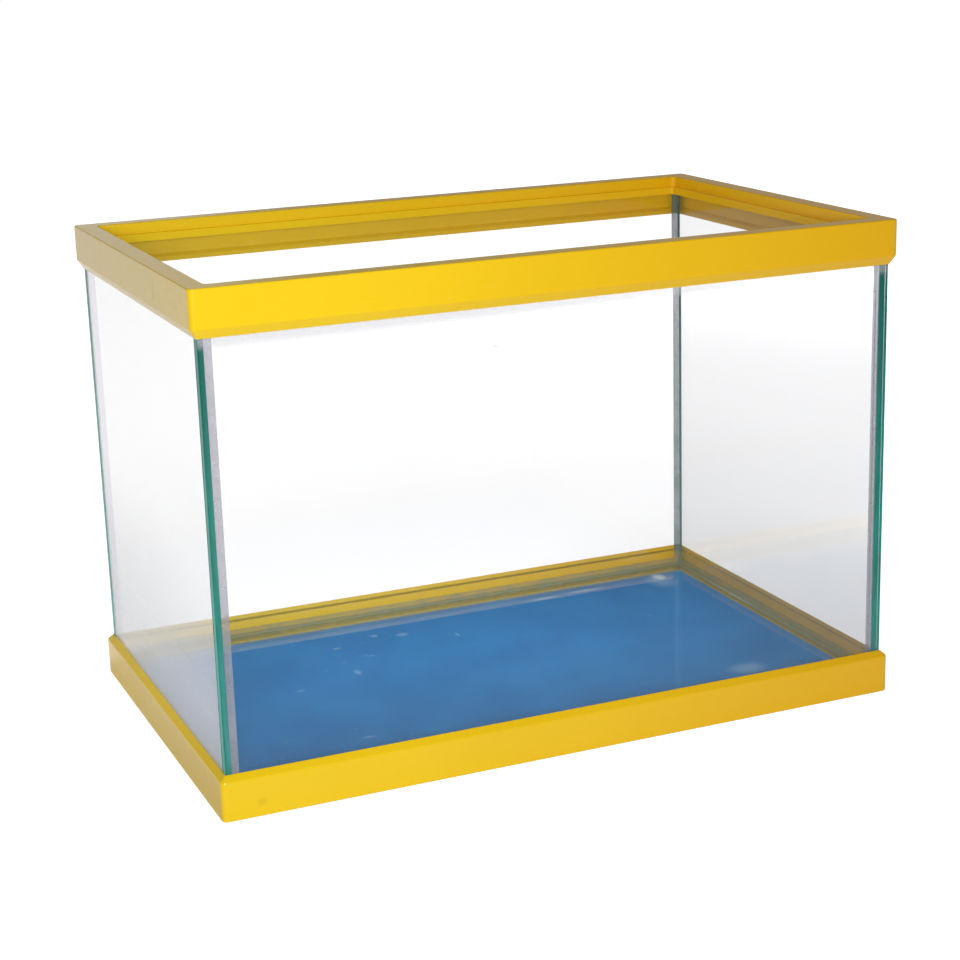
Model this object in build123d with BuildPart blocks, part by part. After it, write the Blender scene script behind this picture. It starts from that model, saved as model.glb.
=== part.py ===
from build123d import *
import os

# Glass tank in two moulded plastic frames. Millimetres.
# +X along the front, +Y to the back, +Z up. Origin at the centre of the base, on the table.

# Overall size over the two frames
tank_length = 400.0
tank_depth = 246.0
tank_height = 275.0

# Glass
glass_thickness = 4.0
arris = 0.3
butt_film = 0.5
floor_film = 0.75

# What both mouldings share
frame_wall = 2.2
channel_gap = 1.55
frame_corner_radius = 3.0
edge_radius = 0.8
break_radius = 1.2
glass_lip_gap = 0.1
glass_lip_edge = 0.3
glass_lip_land = 2.5
glass_lip_slope = 2.0
glass_lip_radius = 0.6

level_match = 0.01

# Top frame
top_frame_height = 25.0
top_chamfer_height = 5.0
lid_recess_depth = 6.5
lid_recess_radius = 3.0
lid_ledge_width = 2.5
inner_lip_drop = 4.5
mouth_radius = 2.0
mouth_edge_radius = 0.5
top_bedding_gap = 0.8
top_bedding_depth = 3.0
locating_rib_pitch = 38.0
locating_rib_thickness = 1.4

# Bottom frame
bottom_frame_height = 24.5
bottom_chamfer_height = 2.9
ledge_height = 8.0
ledge_thickness = 2.5
ledge_reach_y = 11.0
ledge_reach_x = 6.0
ledge_opening_radius = 4.0
bottom_bedding_gap = 0.5
bottom_bedding_rise = 3.5
bottom_bedding_setback = 1.5
ledge_rib_pitch = 36.0
ledge_rib_thickness = 1.8
ledge_rib_foot_gap = 0.5
ledge_rib_toe_height = 2.5
rib_root = 0.6

# Silicone beads and the blue sheet
bead_size = 4.0
blue_sheet_thickness = 1.0
blue_sheet_clearance = 0.4

# Insets from the frames' outer faces
glass_inset = frame_wall + channel_gap
inner_glass_inset = glass_inset + glass_thickness
rim_width = inner_glass_inset + channel_gap + frame_wall
mouth_inset = rim_width + lid_ledge_width
glass_lip_inset = glass_inset - glass_lip_gap
mitre_reach = inner_glass_inset + max(ledge_reach_y, ledge_reach_x) + frame_wall

# Levels
glass_bottom = ledge_height + bottom_bedding_gap
floor_top = glass_bottom + glass_thickness
rim_underside = tank_height - frame_wall
glass_top = rim_underside - top_bedding_gap
lid_ledge_level = tank_height - lid_recess_depth
lid_ledge_underside = lid_ledge_level - frame_wall
inner_lip_bottom = lid_ledge_level - inner_lip_drop
top_frame_bottom = tank_height - top_frame_height
top_break_level = top_frame_bottom + top_chamfer_height
bottom_break_level = bottom_frame_height - bottom_chamfer_height
bead_top = floor_top + bead_size

# Glass sizes in plan
glass_length = tank_length - 2 * glass_inset
glass_depth = tank_depth - 2 * glass_inset
inner_length = tank_length - 2 * inner_glass_inset
inner_depth = tank_depth - 2 * inner_glass_inset
pane_height = glass_top - glass_bottom

# The opening in the bottom frame's ledge
ledge_opening_length = inner_length - 2 * ledge_reach_x
ledge_opening_depth = inner_depth - 2 * ledge_reach_y

sides = ("front", "back", "left", "right")
corners = {"front_left": (-1, -1), "front_right": (1, -1), "back_left": (-1, 1), "back_right": (1, 1)}


def plan(inset, radius=0.0, mode=Mode.ADD):
    """A rectangle in plan, this far inside the frames' outer faces."""
    length = tank_length - 2 * inset
    depth = tank_depth - 2 * inset
    if radius > 0:
        RectangleRounded(length, depth, radius, mode=mode)
    else:
        Rectangle(length, depth, mode=mode)


def edges_at(builder, level):
    """The level edges of the piece so far that lie at this height."""
    return builder.edges().filter_by_position(Axis.Z, level - level_match, level + level_match)


def rib_places(span, pitch):
    """Even places along a side, centred, no closer than the pitch."""
    count = max(int(span // pitch), 1)
    step = span / count
    return [step * (i - (count - 1) / 2) for i in range(count)]


def locating_rib_plan():
    """Plan of the ribs between the top frame's skirt and the panes."""
    depth = channel_gap - glass_lip_gap + rib_root
    middle = frame_wall - rib_root + depth / 2
    for s in (-1, 1):
        for x in rib_places(glass_length, locating_rib_pitch):
            with Locations((x, s * (tank_depth / 2 - middle))):
                Rectangle(locating_rib_thickness, depth)
        for y in rib_places(glass_depth, locating_rib_pitch):
            with Locations((s * (tank_length / 2 - middle), y)):
                Rectangle(depth, locating_rib_thickness)


def stroke_outline(side):
    """Plan outline of one side's stroke of silicone, mitred in the corners."""
    x = tank_length / 2
    y = tank_depth / 2
    reach = mitre_reach
    if side in ("front", "back"):
        s = -1 if side == "front" else 1
        return [(-x, s * y), (x, s * y), (x - reach, s * (y - reach)), (reach - x, s * (y - reach))]
    s = -1 if side == "left" else 1
    return [(s * x, -y), (s * x, y), (s * (x - reach), y - reach), (s * (x - reach), reach - y)]


def write(builder, name):
    """Label a finished piece and write it."""
    builder.part.label = name
    export_step(builder.part, f"parts/{name}.step")


os.makedirs("parts", exist_ok=True)

# Top frame: outer skirt whose lower edge turns in to the glass
with BuildPart() as top_frame:
    with BuildSketch(Plane.XY.offset(top_frame_bottom)):
        plan(glass_lip_inset - glass_lip_edge, glass_lip_radius)
    with BuildSketch(Plane.XY.offset(top_break_level)):
        plan(0, frame_corner_radius)
    loft(ruled=True)
    with BuildSketch(Plane.XY.offset(top_break_level)):
        plan(0, frame_corner_radius)
    extrude(amount=tank_height - top_break_level)
    fillet(edges_at(top_frame, top_break_level), break_radius)
    fillet(top_frame.faces().sort_by(Axis.Z)[-1].edges(), edge_radius)
    # Recess for a lid, and the mouth inside its ledge
    with BuildSketch(Plane.XY.offset(lid_ledge_level)):
        plan(rim_width, lid_recess_radius)
    extrude(amount=lid_recess_depth, mode=Mode.SUBTRACT)
    fillet(top_frame.faces().sort_by(Axis.Z)[-1].inner_wires()[0].edges(), edge_radius)
    with BuildSketch(Plane.XY.offset(top_frame_bottom)):
        plan(mouth_inset, mouth_radius)
    extrude(amount=top_frame_height, mode=Mode.SUBTRACT)
    ledge_face = top_frame.faces().filter_by(Axis.Z).group_by(Axis.Z)[-2][0]
    fillet(ledge_face.inner_wires()[0].edges(), mouth_edge_radius)
    # Underside: the lips that close on the glass, then the hollow skirt
    with BuildSketch(Plane.XY.offset(top_frame_bottom)):
        plan(glass_lip_inset)
    extrude(amount=glass_lip_land, mode=Mode.SUBTRACT)
    with BuildSketch(Plane.XY.offset(top_frame_bottom + glass_lip_land)):
        plan(glass_lip_inset)
    with BuildSketch(Plane.XY.offset(top_frame_bottom + glass_lip_land + glass_lip_slope)):
        plan(frame_wall)
    loft(ruled=True, mode=Mode.SUBTRACT)
    with BuildSketch(Plane.XY.offset(top_frame_bottom + glass_lip_land + glass_lip_slope)):
        plan(frame_wall)
    skirt_hollow = inner_lip_bottom - top_frame_bottom - glass_lip_land - glass_lip_slope
    extrude(amount=skirt_hollow, mode=Mode.SUBTRACT)
    # Underside: the channel that the panes stand up into, beside the lip and the recess wall
    with BuildSketch(Plane.XY.offset(inner_lip_bottom)):
        plan(frame_wall)
        plan(mouth_inset - frame_wall, mode=Mode.SUBTRACT)
    extrude(amount=lid_ledge_underside - inner_lip_bottom, mode=Mode.SUBTRACT)
    with BuildSketch(Plane.XY.offset(lid_ledge_underside)):
        plan(frame_wall)
        plan(rim_width - frame_wall, mode=Mode.SUBTRACT)
    extrude(amount=rim_underside - lid_ledge_underside, mode=Mode.SUBTRACT)
    # Ribs in the channel that centre the frame on the panes
    with BuildSketch(Plane.XY.offset(inner_lip_bottom)):
        locating_rib_plan()
    extrude(amount=rim_underside - inner_lip_bottom)
write(top_frame, "top_frame")

# Bottom frame: outer skirt, bevelled in to the glass at its top
with BuildPart() as bottom_frame:
    with BuildSketch(Plane.XY):
        plan(0, frame_corner_radius)
    extrude(amount=bottom_break_level)
    with BuildSketch(Plane.XY.offset(bottom_break_level)):
        plan(0, frame_corner_radius)
    with BuildSketch(Plane.XY.offset(bottom_frame_height)):
        plan(glass_lip_inset - glass_lip_edge, glass_lip_radius)
    loft(ruled=True)
    fillet(edges_at(bottom_frame, bottom_break_level), break_radius)
    fillet(bottom_frame.faces().sort_by(Axis.Z)[0].edges(), edge_radius)
    # The well that the panes stand in, with its lips that close on the glass
    lip_slope_bottom = bottom_frame_height - glass_lip_land - glass_lip_slope
    with BuildSketch(Plane.XY.offset(ledge_height)):
        plan(frame_wall)
    extrude(amount=lip_slope_bottom - ledge_height, mode=Mode.SUBTRACT)
    with BuildSketch(Plane.XY.offset(lip_slope_bottom)):
        plan(frame_wall)
    with BuildSketch(Plane.XY.offset(bottom_frame_height - glass_lip_land)):
        plan(glass_lip_inset)
    loft(ruled=True, mode=Mode.SUBTRACT)
    with BuildSketch(Plane.XY.offset(bottom_frame_height - glass_lip_land)):
        plan(glass_lip_inset)
    extrude(amount=glass_lip_land, mode=Mode.SUBTRACT)
    # The ledge under the glass, open in the middle, and the recess under it
    with BuildSketch(Plane.XY):
        RectangleRounded(ledge_opening_length, ledge_opening_depth, ledge_opening_radius)
    extrude(amount=ledge_height, mode=Mode.SUBTRACT)
    with BuildSketch(Plane.XY):
        plan(frame_wall)
    extrude(amount=ledge_height - ledge_thickness, mode=Mode.SUBTRACT)
    # Ribs that carry the ledge to the skirt
    rib_top = ledge_height - ledge_thickness + rib_root
    toe_bottom = ledge_height - ledge_thickness - ledge_rib_toe_height
    skirt_face_y = tank_depth / 2 - frame_wall + rib_root
    skirt_face_x = tank_length / 2 - frame_wall + rib_root
    for s in (-1, 1):
        for x in rib_places(ledge_opening_length, ledge_rib_pitch):
            with BuildSketch(Plane.YZ.offset(x - ledge_rib_thickness / 2)):
                with BuildLine():
                    Polyline(
                        (s * skirt_face_y, ledge_rib_foot_gap),
                        (s * ledge_opening_depth / 2, toe_bottom),
                        (s * ledge_opening_depth / 2, rib_top),
                        (s * skirt_face_y, rib_top),
                        close=True,
                    )
                make_face()
            extrude(amount=ledge_rib_thickness)
        for y in rib_places(ledge_opening_depth, ledge_rib_pitch):
            with BuildSketch(Plane.XZ.offset(y - ledge_rib_thickness / 2)):
                with BuildLine():
                    Polyline(
                        (s * skirt_face_x, ledge_rib_foot_gap),
                        (s * ledge_opening_length / 2, toe_bottom),
                        (s * ledge_opening_length / 2, rib_top),
                        (s * skirt_face_x, rib_top),
                        close=True,
                    )
                make_face()
            extrude(amount=ledge_rib_thickness)
write(bottom_frame, "bottom_frame")

# Front and back panes run the whole length and cover the side panes' edges
for name, s in (("front_pane", -1), ("back_pane", 1)):
    with BuildPart() as long_pane:
        with BuildSketch(Plane.XY.offset(glass_bottom)):
            with Locations((0, s * (glass_depth - glass_thickness) / 2)):
                Rectangle(glass_length, glass_thickness)
        extrude(amount=pane_height)
        chamfer(long_pane.edges(), arris)
    write(long_pane, name)

# Side panes stand between them, a film of silicone away
for name, s in (("left_pane", -1), ("right_pane", 1)):
    with BuildPart() as side_pane:
        with BuildSketch(Plane.XY.offset(glass_bottom)):
            with Locations((s * (glass_length - glass_thickness) / 2, 0)):
                Rectangle(glass_thickness, inner_depth - 2 * butt_film)
        extrude(amount=pane_height)
        chamfer(side_pane.edges(), arris)
    write(side_pane, name)

# Glass floor between the four walls
with BuildPart() as base_pane:
    with BuildSketch(Plane.XY.offset(glass_bottom)):
        Rectangle(inner_length - 2 * floor_film, inner_depth - 2 * floor_film)
    extrude(amount=glass_thickness)
    chamfer(base_pane.edges(), arris)
write(base_pane, "base_pane")

# Blue sheet bonded under the floor, inside the ledge's opening
with BuildPart() as blue_base_sheet:
    with BuildSketch(Plane.XY.offset(glass_bottom - blue_sheet_thickness)):
        RectangleRounded(
            ledge_opening_length - 2 * blue_sheet_clearance,
            ledge_opening_depth - 2 * blue_sheet_clearance,
            ledge_opening_radius - blue_sheet_clearance,
        )
    extrude(amount=blue_sheet_thickness)
write(blue_base_sheet, "blue_base_sheet")

# The hollow that a fingertip leaves when it tools the beads round the floor
with BuildPart() as tooled_hollow:
    with BuildSketch(Plane.XY.offset(floor_top)):
        Rectangle(inner_length, inner_depth)
    extrude(amount=2 * bead_size)
    hollow_edges = tooled_hollow.edges().filter_by(Axis.Z)
    hollow_edges += tooled_hollow.faces().sort_by(Axis.Z)[0].edges()
    fillet(hollow_edges, bead_size)

# Silicone round the floor: a film at the floor's edges under a tooled bead
with BuildPart() as floor_bead_ring:
    with BuildSketch(Plane.XY.offset(floor_top)):
        Rectangle(inner_length, inner_depth)
    extrude(amount=bead_size)
    add(tooled_hollow.part, mode=Mode.SUBTRACT)
    with BuildSketch(Plane.XY.offset(glass_bottom)):
        Rectangle(inner_length, inner_depth)
        Rectangle(inner_length - 2 * floor_film, inner_depth - 2 * floor_film, mode=Mode.SUBTRACT)
    extrude(amount=glass_thickness)

# Silicone in the top frame's channel, over and beside the panes' top edges
with BuildPart() as top_bedding_ring:
    with BuildSketch(Plane.XY.offset(rim_underside - top_bedding_depth)):
        plan(frame_wall)
        plan(rim_width - frame_wall, mode=Mode.SUBTRACT)
    extrude(amount=top_bedding_depth)
    with BuildSketch(Plane.XY.offset(rim_underside - top_bedding_depth)):
        plan(glass_inset)
        plan(inner_glass_inset, mode=Mode.SUBTRACT)
    extrude(amount=top_bedding_depth - top_bedding_gap, mode=Mode.SUBTRACT)
    with BuildSketch(Plane.XY.offset(rim_underside - top_bedding_depth)):
        locating_rib_plan()
    extrude(amount=top_bedding_depth, mode=Mode.SUBTRACT)

# Silicone on the bottom frame's ledge, under the panes and up their outer faces
with BuildPart() as bottom_bedding_ring:
    with BuildSketch(Plane.XY.offset(ledge_height)):
        plan(frame_wall)
        Rectangle(
            ledge_opening_length + 2 * bottom_bedding_setback,
            ledge_opening_depth + 2 * bottom_bedding_setback,
            mode=Mode.SUBTRACT,
        )
    extrude(amount=bottom_bedding_gap)
    with BuildSketch(Plane.XY.offset(glass_bottom)):
        plan(frame_wall)
        plan(glass_inset, mode=Mode.SUBTRACT)
    extrude(amount=bottom_bedding_rise)

# Each ring of silicone is laid as four strokes, one along each side
rings = {
    "base_seal": floor_bead_ring,
    "top_bedding": top_bedding_ring,
    "bottom_bedding": bottom_bedding_ring,
}
for ring_name, ring in rings.items():
    for side in sides:
        with BuildPart() as stroke:
            add(ring.part)
            with BuildSketch(Plane.XY):
                with BuildLine():
                    Polyline(*stroke_outline(side), close=True)
                make_face()
            extrude(amount=tank_height, mode=Mode.INTERSECT)
        write(stroke, f"{ring_name}_{side}")

# Upright corner seals: a film between the butted panes and a tooled bead inside
for corner, (sx, sy) in corners.items():
    with BuildPart() as corner_seal:
        x = sx * inner_length / 2
        y = sy * inner_depth / 2
        with BuildSketch(Plane.XY.offset(bead_top)):
            with BuildLine():
                Line((x, y), (x - sx * bead_size, y))
                RadiusArc((x - sx * bead_size, y), (x, y - sy * bead_size), sx * sy * bead_size)
                Line((x, y - sy * bead_size), (x, y))
            make_face()
        extrude(amount=inner_lip_bottom - bead_top)
        with BuildSketch(Plane.XY.offset(glass_bottom)):
            with Locations((x + sx * glass_thickness / 2, y - sy * butt_film / 2)):
                Rectangle(glass_thickness, butt_film)
        extrude(amount=pane_height)
    write(corner_seal, f"corner_seal_{corner}")
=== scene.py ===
import math

import bmesh
import bpy
from mathutils import Matrix, Vector


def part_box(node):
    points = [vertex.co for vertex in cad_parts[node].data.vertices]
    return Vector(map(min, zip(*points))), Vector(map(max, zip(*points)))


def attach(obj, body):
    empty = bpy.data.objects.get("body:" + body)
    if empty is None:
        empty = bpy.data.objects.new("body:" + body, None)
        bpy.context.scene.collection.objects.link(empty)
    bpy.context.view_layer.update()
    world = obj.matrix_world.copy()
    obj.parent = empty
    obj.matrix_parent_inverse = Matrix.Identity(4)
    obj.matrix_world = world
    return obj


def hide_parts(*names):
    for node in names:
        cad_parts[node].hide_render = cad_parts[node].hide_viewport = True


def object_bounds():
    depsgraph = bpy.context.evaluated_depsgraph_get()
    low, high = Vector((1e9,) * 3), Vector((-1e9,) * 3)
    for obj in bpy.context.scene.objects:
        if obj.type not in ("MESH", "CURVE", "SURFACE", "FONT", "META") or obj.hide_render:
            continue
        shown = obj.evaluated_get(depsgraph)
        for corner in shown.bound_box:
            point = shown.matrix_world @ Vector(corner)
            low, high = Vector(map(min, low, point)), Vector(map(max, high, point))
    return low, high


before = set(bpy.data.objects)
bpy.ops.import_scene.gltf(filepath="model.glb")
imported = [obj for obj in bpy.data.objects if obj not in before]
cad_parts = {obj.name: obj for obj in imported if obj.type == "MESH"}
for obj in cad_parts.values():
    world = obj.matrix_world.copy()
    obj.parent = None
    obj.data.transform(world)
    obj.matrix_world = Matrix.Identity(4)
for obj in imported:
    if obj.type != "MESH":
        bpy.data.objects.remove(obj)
packed_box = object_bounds()


# Bottom frame: one moulding in yellow polystyrene that the glass stands in. It is glossy from a
# polished mould, with a faint orange peel, slight flow marks in the colour and light handling rubs.
class Wire:
    """A socket in a finish's nodes. Arithmetic on wires adds the Math nodes that say the same."""

    def __init__(self, finish, socket):
        self.finish = finish
        self.socket = socket

    def math(self, operation, *values):
        return self.finish.node("Math", dict(enumerate(values)), operation=operation)

    def __add__(self, other):
        return self.math("ADD", self, other)

    __radd__ = __add__

    def __sub__(self, other):
        return self.math("SUBTRACT", self, other)

    def __rsub__(self, other):
        return self.math("SUBTRACT", other, self)

    def __mul__(self, other):
        return self.math("MULTIPLY", self, other)

    __rmul__ = __mul__

    def size(self):
        return self.math("ABSOLUTE", self)

    def at_most(self, other):
        return self.math("MINIMUM", self, other)

    def at_least(self, other):
        return self.math("MAXIMUM", self, other)

    def band(self, low, high):
        """0 below low, 1 above high and smooth between."""
        limits = {"Value": self, "From Min": low, "From Max": high}
        return self.finish.node("MapRange", limits, interpolation_type="SMOOTHSTEP")

    def tint(self, first, second):
        """The first colour where this mask is 0, the second where it is 1."""
        colours = {0: self, 6: first, 7: second}
        return self.finish.node("Mix", colours, output=2, data_type="RGBA", clamp_factor=True)


class Finish:
    """A procedural finish, built node by node."""

    def __init__(self, name, world=None):
        self.owner = world or bpy.data.materials.new(name)
        self.owner.use_nodes = True
        self.tree = self.owner.node_tree
        self.tree.nodes.clear()

    def node(self, kind, sockets=None, output=0, **settings):
        made = self.tree.nodes.new("ShaderNode" + kind)
        for name, value in settings.items():
            setattr(made, name, value)
        for name, value in (sockets or {}).items():
            if isinstance(value, Wire):
                self.tree.links.new(value.socket, made.inputs[name])
            else:
                made.inputs[name].default_value = value
        return Wire(self, made.outputs[output]) if made.outputs else None

    def place(self, scale=(1, 1, 1)):
        """The piece's own coordinates in metres, squeezed where a mark is drawn out."""
        coordinates = self.node("TexCoord", output="Object")
        return self.node("Mapping", {"Vector": coordinates, "Scale": scale})

    def along(self, place, axis):
        return self.node("SeparateXYZ", {0: place}, output=axis)

    def noise(self, place, scale, detail=2.0, roughness=0.5):
        sockets = {"Vector": place, "Scale": scale, "Detail": detail, "Roughness": roughness}
        return self.node("TexNoise", sockets)

    def away(self, place, middle=(0, 0, 0), size=(1, 1, 1)):
        """The distance from the middle, counted in half sizes: 1 on an ellipsoid round it."""
        offset = self.node("VectorMath", {0: place, 1: middle}, operation="SUBTRACT")
        offset = self.node("VectorMath", {0: offset, 1: size}, operation="DIVIDE")
        return self.node("VectorMath", {0: offset}, output=1, operation="LENGTH")

    def spot(self, place, middle, size):
        """1 at the middle, fading to 0 on an ellipsoid of this half size."""
        return 1 - self.away(place, middle, size).band(0.2, 1)

    def bump(self, height, distance):
        return self.node("Bump", {"Height": height, "Distance": distance})

    def principled(self, **sockets):
        named = {name.replace("_", " "): value for name, value in sockets.items()}
        return self.node("BsdfPrincipled", named)

    def mixed(self, share, first, second):
        return self.node("MixShader", {0: share, 1: first, 2: second})

    def open_to_light(self, body, colour):
        """The body for the eye and mirrors, and a clear tint for lamps and scattered light."""
        clear = self.node("BsdfTransparent", {"Color": colour})
        for ray in ("Is Diffuse Ray", "Is Shadow Ray"):
            body = self.mixed(self.node("LightPath", output=ray), body, clear)
        return body

    def finished(self, shader, kind="OutputMaterial"):
        self.node(kind, {"Surface": shader})
        return self.owner


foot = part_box("bottom_frame")[1]
inside_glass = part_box("back_pane")[0].y
ledge_top = 0.008
shaded_right_span = (-0.20, 0.30)


def moulded_yellow():
    """Lemon yellow with a flow mark and a smudge; the deeper amber towards the right end and the
    olive ledge under the floor glass are painted shade.
    """
    finish = Finish("moulded_yellow")
    place = finish.place()
    drift = finish.noise(place, 7, detail=3)
    rub = finish.noise(finish.place((1, 1, 6)), 55, detail=6, roughness=0.65).band(0.60, 0.72)
    lemon = drift.band(0.3, 0.7).tint((0.89, 0.59, 0.003, 1), (0.93, 0.62, 0.004, 1))
    # Deeper amber towards the right end: painted shade, for the key light falling off to the right.
    shaded_right = finish.along(place, 0).band(*shaded_right_span)
    colour = shaded_right.tint(lemon, (0.91, 0.49, 0.003, 1))
    flow_mark = finish.spot(place, (-0.20, -0.056, 0.263), (0.004, 0.0016, 0.010))
    smudge = finish.spot(place, (-0.179, -0.123, 0.008), (0.004, 0.004, 0.003))
    colour = (0.45 * flow_mark + 0.2 * smudge).tint(colour, (0.35, 0.20, 0.002, 1))
    # The ledge's top under the floor glass is tinted dark olive: painted shade under the glass and
    # silicone.
    sideways = finish.along(place, 0).size() - (foot.x - foot.y)
    outward = sideways.at_least(finish.along(place, 1).size())
    height = finish.along(place, 2)
    shaded_ledge = 1 - outward.band(inside_glass - 0.00025, inside_glass + 0.00025)
    shaded_ledge = shaded_ledge * height.band(ledge_top - 0.0003, ledge_top - 0.0001)
    shaded_ledge = shaded_ledge * (1 - height.band(ledge_top + 0.0001, ledge_top + 0.0004))
    colour = (0.65 * shaded_ledge).tint(colour, (0.36, 0.37, 0.12, 1))
    peel = finish.noise(place, 700, detail=1) * 0.6 + finish.noise(place, 160, detail=2)
    shader = finish.principled(
        Base_Color=colour,
        Roughness=0.22 + 0.10 * rub + 0.05 * drift,
        Specular_IOR_Level=0.4,
        Normal=finish.bump(peel, 0.00002),
    )
    return finish.finished(shader)


yellow_moulding = moulded_yellow()


def dress(node, *finishes):
    """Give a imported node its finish, slot by slot."""
    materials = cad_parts[node].data.materials
    materials.clear()
    for material in finishes:
        materials.append(material)


dress("bottom_frame", yellow_moulding)


# Bottom bedding: clear silicone run along the frame's ledge before the glass is set down in it.
# It squeezes up beside the panes and is left as it lies. The seams are the same silicone, in three
# tones.
inner_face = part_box("right_pane")[0].x
floor_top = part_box("base_pane")[1].z
film_edge = 0.0001


def cured_silicone(name, milk, tone):
    """Clear silicone gone milky: olive where it lies on the yellow, its own tone up a corner, and a
    painted highlight streak along the right floor seam.
    """
    finish = Finish(name)
    place = finish.place()
    height = finish.along(place, 2)
    cloud = finish.noise(place, 60, detail=3).band(0.35, 0.75)
    ripple = finish.noise(place, 110, detail=2)
    upright = height.band(floor_top + 0.004, floor_top + 0.012)
    low = cloud.tint((0.40, 0.38, 0.18, 1), (0.28, 0.33, 0.22, 1))
    # A painted highlight: a pale streak along the right floor seam, for the shine on its bead.
    painted_bead_highlight = finish.spot(place, (0.1893, 0.042, 0.0145), (0.0012, 0.055, 0.003))
    low = (0.8 * painted_bead_highlight).tint(low, (0.92, 0.92, 0.85, 1))
    gel = finish.principled(
        Base_Color=upright.tint(low, tone),
        Roughness=0.22 + 0.15 * cloud,
        IOR=1.41,
        Normal=finish.bump(ripple, 0.00001),
    )
    clear = finish.node("BsdfTransparent", {"Color": (0.90, 0.87, 0.91, 1)})
    beside = finish.along(place, 0).size().band(inner_face, inner_face + film_edge)
    under = 1 - height.band(floor_top - film_edge, floor_top)
    thick = (1 - 0.95 * beside) * (1 - 0.35 * under)
    body = finish.mixed(milk * thick * (1 + 0.4 * cloud + 0.3 * upright), clear, gel)
    return finish.finished(finish.open_to_light(body, (0.85, 0.85, 0.87, 1)))


silicone = cured_silicone("cured_silicone", 0.30, (0.42, 0.44, 0.46, 1))
green_silicone = cured_silicone("green_silicone", 0.34, (0.13, 0.21, 0.18, 1))
clearer_silicone = cured_silicone("clearer_silicone", 0.03, (0.42, 0.44, 0.46, 1))
sides = ("front", "back", "left", "right")
for side in sides:
    dress(f"bottom_bedding_{side}", silicone)


# Glass floor and its blue backing: a cut float glass plate with a blue plastic sheet bonded under
# it. The backing is an extruded sheet, a little scuffed and specked where it met the glass.
frame_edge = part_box("top_frame")[0].z
low_grey_height = 0.14


def clear_float(name, pale=0.6, under_frame=0.0, low_grey=0.0, grey_all_over=0.0):
    """Float glass, wiped but not clean, with a matte grey layer mixed in: in a strip under the top
    frame, low down above the floor and all over.
    """
    finish = Finish(name)
    place = finish.place()
    height = finish.along(place, 2)
    smear = finish.noise(finish.place((1, 1, 0.4)), 14, detail=5, roughness=0.6).band(0.55, 0.8)
    body = finish.principled(
        Base_Color=(0.985, 0.985, 0.99, 1),
        Roughness=0.02 * smear,
        IOR=1.52,
        Transmission_Weight=1.0,
    )
    grey_layer = finish.principled(Base_Color=(pale, pale, 1.08 * pale, 1), Roughness=0.9)
    fleck = 0.3 * finish.spot(place, (-0.04, -0.119, 0.2294), (0.0014, 0.01, 0.0012))
    edge = height.band(frame_edge - 0.007, frame_edge - 0.002)
    edge = edge * (1 - height.band(frame_edge, frame_edge + 0.001))
    low = 1 - height.band(floor_top, floor_top + low_grey_height)
    greyed = finish.mixed(under_frame * edge + low_grey * low + 0.01 * smear + grey_all_over + fleck, body, grey_layer)
    return finish.finished(finish.open_to_light(greyed, (0.97, 0.98, 0.98, 1)))


def cut_edge():
    finish = Finish("cut_glass_edge")
    streak = finish.noise(finish.place((1, 1, 0.08)), 420, detail=3, roughness=0.6).band(0.3, 0.7)
    deep = finish.along(finish.place(), 2).band(0.10, 0.27)
    green = streak.tint((0.004, 0.32, 0.24, 1), (0.012, 0.46, 0.37, 1))
    colour = deep.tint(green, (0.001, 0.20, 0.14, 1))
    shader = finish.principled(Base_Color=colour, Roughness=0.3, Specular_IOR_Level=0.2)
    return finish.finished(shader)


glass_edge = cut_edge()
arris = 0.0003
contact = 0.00003
face_on = 0.99


def piece(name, mesh, *finishes):
    """A piece of the tank made from a finished mesh, in its place on the body."""
    data = bpy.data.meshes.new(name)
    mesh.to_mesh(data)
    mesh.free()
    for material in finishes:
        data.materials.append(material)
    made = bpy.data.objects.new(name, data)
    bpy.context.scene.collection.objects.link(made)
    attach(made, "root")
    return made


def pane(node, name, glass):
    """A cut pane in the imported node's place, its arrises ground, its cut edges green."""
    low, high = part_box(node)
    size = high - low
    thin = min(range(3), key=lambda axis: size[axis])
    for axis in {0, 1, thin}:
        size[axis] += 2 * contact
    mesh = bmesh.new()
    bmesh.ops.create_cube(mesh, size=1)
    bmesh.ops.scale(mesh, vec=size, verts=mesh.verts)
    bmesh.ops.translate(mesh, vec=(low + high) / 2, verts=mesh.verts)
    bmesh.ops.bevel(
        mesh,
        geom=mesh.edges[:],
        offset=arris,
        offset_type="OFFSET",
        segments=2,
        profile=0.5,
        affect="EDGES",
        material=-1,
        clamp_overlap=True,
    )
    mesh.normal_update()
    for face in mesh.faces:
        face.material_index = 0 if abs(face.normal[thin]) > face_on else 1
    made = piece(name, mesh, glass, glass_edge)
    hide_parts(node)


# Each mark is its place along and across the sheet, then its half length and half width.
# The glare is a painted reflection: a pale spot standing in for a glint in the floor glass at the
# back right.
painted_glare = (0.1661, 0.0960, 0.0065, 0.0100)
faint_marks = (
    (-0.0439, 0.0768, 0.0035, 0.0030),
    (-0.0274, 0.0712, 0.0055, 0.0040),
    (-0.0722, 0.0663, 0.0040, 0.0020),
    (-0.0744, 0.0223, 0.0030, 0.0060),
    (-0.1145, 0.0092, 0.0045, 0.0015),
    (-0.1028, -0.0736, 0.0055, 0.0018),
    (0.0033, 0.0549, 0.0015, 0.0045),
    (0.1320, -0.0780, 0.0160, 0.0110),
    (0.1100, 0.0940, 0.0200, 0.0035),
    (0.0800, 0.0920, 0.0140, 0.0030),
    (0.1645, 0.0880, 0.0130, 0.0180),
)


faint = 0.3


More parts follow.
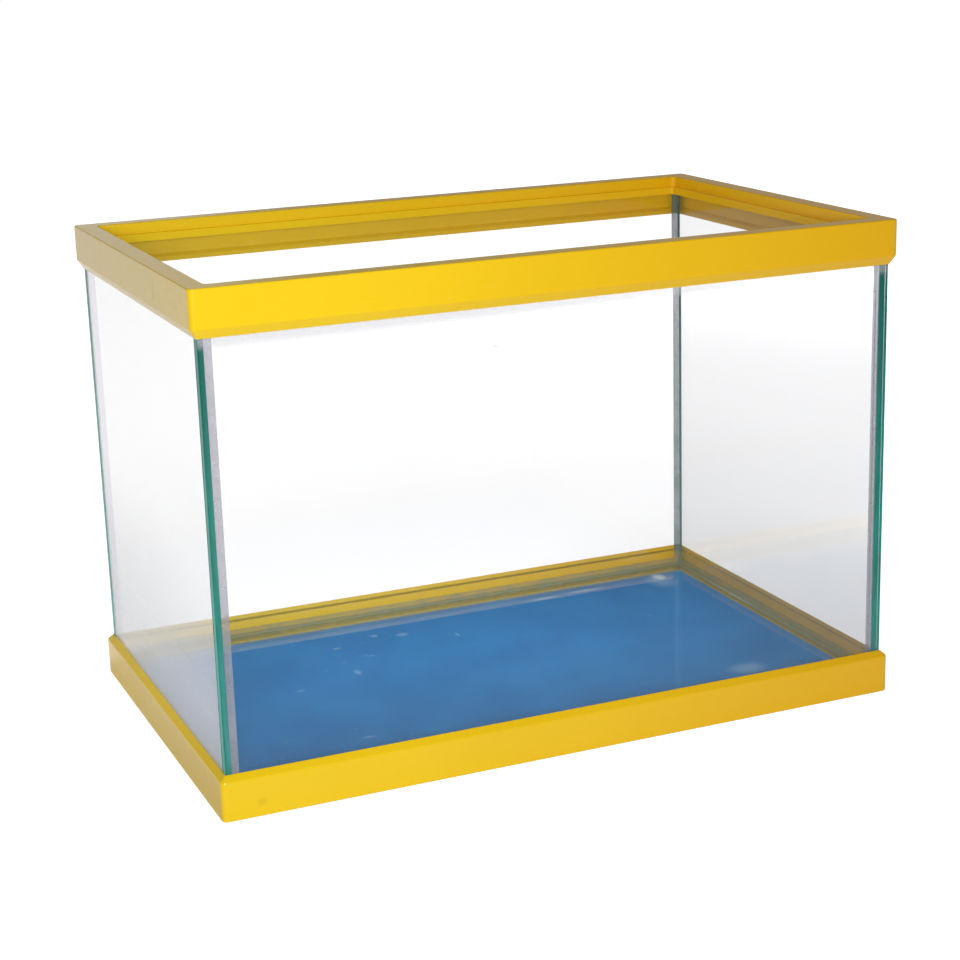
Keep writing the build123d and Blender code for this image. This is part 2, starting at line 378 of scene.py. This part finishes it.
def backing_blue():
    """Blue sheet with pale marks and a painted glare spot at the back right, and greyer along its
    back edge.
    """
    finish = Finish("backing_blue")
    place = finish.place()
    mottle = finish.noise(place, 22, detail=4, roughness=0.55)
    speck = finish.noise(place, 420, detail=2, roughness=0.7).band(0.70, 0.76)
    scuff = finish.noise(finish.place((0.25, 1, 1)), 60, detail=6, roughness=0.7).band(0.68, 0.78)
    x, y, length, width = painted_glare
    marks_and_glare = finish.spot(place, (x, y, 0), (length, width, 1))
    for x, y, length, width in faint_marks:
        marks_and_glare = marks_and_glare.at_least(finish.spot(place, (x, y, 0), (length, width, 1)) * faint)
    blue = mottle.band(0.3, 0.7).tint((0.008, 0.185, 0.49, 1), (0.012, 0.225, 0.56, 1))
    blue_marks_and_glare = (0.5 * speck + 0.25 * scuff).at_least(marks_and_glare).tint(blue, (0.55, 0.72, 0.85, 1))
    margin = finish.along(place, 1).band(0.0965, 0.1035)
    blue_marks_and_glare = (0.5 * margin).tint(blue_marks_and_glare, (0.17, 0.22, 0.15, 1))
    shader = finish.principled(
        Base_Color=blue_marks_and_glare,
        Roughness=0.45 + 0.1 * mottle,
        Specular_IOR_Level=0.2,
        Normal=finish.bump(finish.noise(place, 300), 0.00003),
    )
    return finish.finished(shader)


pane("base_pane", "floor_glass", clear_float("floor_float"))
dress("blue_base_sheet", backing_blue())


# Upright panes: the front and back glass run full length and cover the ends of the side glass.
# All four are 4 mm float, cut to size, so their edges show green. Each gets its own matte grey layer:
# how pale it is, then how much of it lies in a strip under the frame, low down above the floor and
# all over. On the right pane the layer is dark and is painted shade, for the shadow behind the tank
# seen through that pane.
pane_greys = {
    "front": (0.62, 0.30, 0.0, 0.0),
    "back": (0.62, 0.0, 0.0, 0.0),
    "left": (0.85, 0.0, 0.34, 0.0),
    # The right pane's dark layer is painted shade.
    "right": (0.22, 0.0, 0.04, 0.05),
}
for side in sides:
    pane(f"{side}_pane", f"{side}_glass", clear_float(f"{side}_float", *pane_greys[side]))


# Silicone seams: a bead tooled with a fingertip up each inner corner and round the floor, with a
# film of it in the butt joints. It is what holds the panes together.
for side in sides:
    dress(f"base_seal_{side}", silicone)
dress("corner_seal_front_left", silicone)
dress("corner_seal_front_right", silicone)
dress("corner_seal_back_right", green_silicone)
dress("corner_seal_back_left", clearer_silicone)


# Top frame: the second yellow moulding, pushed down over the glass onto its own bedding silicone.
# It has a flat rim, a recess with a ledge for a lid, and a lip that drops inside the glass.
dress("top_frame", yellow_moulding)
for side in sides:
    dress(f"top_bedding_{side}", silicone)


# The white table: a plain floor that stays white to the eye and keeps a faint shadow. Mirrors see
# painted shade on it in front of the tank and from inside the glass, with a painted contact shadow
# close to it, and through the glass it shows a painted shadow beside the tank's right end. It
# throws less light on the tank from the front and the left.
table_reach = 8.0
table_grey = (0.34, 0.34, 0.34, 1)
near_glow = 0.95
far_glow = 1.06
near_reach = 0.30
far_reach = 0.75
mirrored_front = (-0.45, 0.05)
mirrored_dark = 0.06
contact_reach = 0.035
contact_dark = 0.45
inside_dark = 0.2
bounce_front = 0.42
bounce_back = 0.80
bounce_span = (-0.08, 0.32)
shade_place = (0.25, -0.02, 0.0)
shade_size = (0.18, 0.30, 1.0)
shade_depth = 0.26
left_dark = 0.15
left_span = (0.22, 0.45)


def seen_directly(finish):
    """1 on the way from the eye, through glass and off mirrors too, and 0 for light on the tank."""
    eye = finish.node("LightPath", output="Is Camera Ray")
    mirror = finish.node("LightPath", output="Is Glossy Ray")
    through = finish.node("LightPath", output="Is Transmission Ray")
    lit = finish.node("LightPath", output="Diffuse Depth").at_most(1)
    return (eye + mirror + through).at_most(1) * (1 - lit)


def white_table():
    finish = Finish("white_table")
    place = finish.place()
    white = near_glow + (far_glow - near_glow) * finish.away(place).band(near_reach, far_reach)
    back = finish.along(place, 1)
    mirrored = finish.node("LightPath", output="Glossy Depth").at_most(1)
    shade = 1 - mirrored * (1 - back.band(*mirrored_front)) * (1 - mirrored_dark)
    # Mirrors see a painted contact shadow close round the tank.
    sideways = finish.along(place, 0).size() - foot.x
    outward = sideways.at_least(back.size() - foot.y)
    shade = shade * (1 - mirrored * (1 - contact_dark) * (1 - outward.band(0, contact_reach)))
    through = finish.node("LightPath", output="Is Transmission Ray")
    # A painted shadow on the table beside and behind the tank's right end, seen only through the
    # glass.
    away = finish.away(place, shade_place, shade_size).at_most(1)
    behind = 1 - shade_depth * through * (1 - away)
    shade = shade * (1 - mirrored * through * (1 - inside_dark))
    seen = seen_directly(finish)
    bounce = bounce_front + (bounce_back - bounce_front) * back.band(*bounce_span)
    leftward = -1 * finish.along(place, 0)
    bounce = bounce * (1 - (1 - left_dark) * leftward.band(*left_span))
    level = seen * white * shade * behind + (1 - seen) * bounce
    glow = finish.node("Emission", {"Color": (1, 1, 1, 1), "Strength": level})
    paint = finish.node("BsdfDiffuse", {"Color": table_grey})
    return finish.finished(finish.node("AddShader", {0: glow, 1: paint}))


mesh = bmesh.new()
bmesh.ops.create_grid(mesh, x_segments=1, y_segments=1, size=table_reach)
bmesh.ops.translate(mesh, vec=(0, 0, -contact), verts=mesh.verts)
data = bpy.data.meshes.new("table")
mesh.to_mesh(data)
mesh.free()
data.materials.append(white_table())
table = bpy.data.objects.new("table", data)
bpy.context.scene.collection.objects.link(table)


# The studio: white to the eye and through the glass. Mirrors see a low white wall round the
# table, shaded at the right, and a dim room above it.
room_light = 0.12
ceiling_light = 0.35
room_dim = 0.05
wall_top = (0.17, 0.31)
wall_end = (0.24, 0.31)
wall_shade = 0.6
world = bpy.data.worlds.new("studio")
bpy.context.scene.world = world
finish = Finish("studio", world)
direction = finish.node("TexCoord", output="Generated")
across = finish.node("SeparateXYZ", {0: direction}, output=0)
upward = finish.node("SeparateXYZ", {0: direction}, output=2)
below = 1 - upward.band(-0.02, 0.03)
wall = (1 - upward.band(*wall_top)) * (1 - wall_shade * across.band(*wall_end))
reflected = room_dim + (1 - room_dim) * below.at_least(wall)
mirrored = finish.node("LightPath", output="Glossy Depth").at_most(1)
seen = seen_directly(finish)
unseen = room_light + ceiling_light * upward.band(0.2, 1)
level = seen * (1 - mirrored * (1 - reflected)) + (1 - seen) * unseen
finish.finished(finish.node("Background", {"Color": (1, 1, 1, 1), "Strength": level}), "OutputWorld")


# Lamps: a soft box in front of the tank, a gridded one over its mouth and a fill behind its right
# end. No lamp shows to the camera or through the glass, and only the soft box shows in mirrors.
def soft_lamp(name, place, target, width, height, power, mirrored=True, spread=180):
    light = bpy.data.lights.new(name, "AREA")
    light.shape = "RECTANGLE"
    light.size = width
    light.size_y = height
    light.energy = power
    light.spread = math.radians(spread)
    lamp = bpy.data.objects.new(name, light)
    bpy.context.scene.collection.objects.link(lamp)
    lamp.location = place
    lamp.rotation_mode = "QUATERNION"
    lamp.rotation_quaternion = (Vector(target) - Vector(place)).to_track_quat("-Z", "Y")
    lamp.visible_camera = False
    lamp.visible_glossy = mirrored
    lamp.visible_transmission = False


tank_middle = (packed_box[0] + packed_box[1]) / 2
back_foot = (0, 0.12, 0.02)
soft_lamp("key_lamp", (-0.39, -0.84, 0.39), tank_middle, 0.20, 0.20, 4.8)
soft_lamp("mouth_lamp", (0, -0.07, 0.245), back_foot, 0.34, 0.10, 0.26, mirrored=False, spread=110)
soft_lamp("fill_lamp", (1.0, 1.1, 0.16), tank_middle, 0.6, 0.3, 6.0, mirrored=False)


# Camera: where the picture was taken from, in front of the tank, to the left of it and above it,
# with a long lens.
camera_place = Vector((-0.446995, -1.058209, 0.443352))
heading = math.radians(-22.856)
dip = math.radians(15.516)
lean = math.radians(-1.713)
focal_length = 76.80
film_width = 36.0
look = Vector((-math.sin(heading) * math.cos(dip), math.cos(heading) * math.cos(dip), -math.sin(dip)))
camera = bpy.data.objects.new("camera", bpy.data.cameras.new("camera"))
bpy.context.scene.collection.objects.link(camera)
camera.data.lens = focal_length
camera.data.sensor_width = film_width
turned = look.to_track_quat("-Z", "Y").to_matrix().to_4x4()
camera.matrix_world = Matrix.Translation(camera_place) @ turned @ Matrix.Rotation(lean, 4, "Z")
bpy.context.scene.camera = camera
bpy.context.scene.view_settings.view_transform = "Standard"
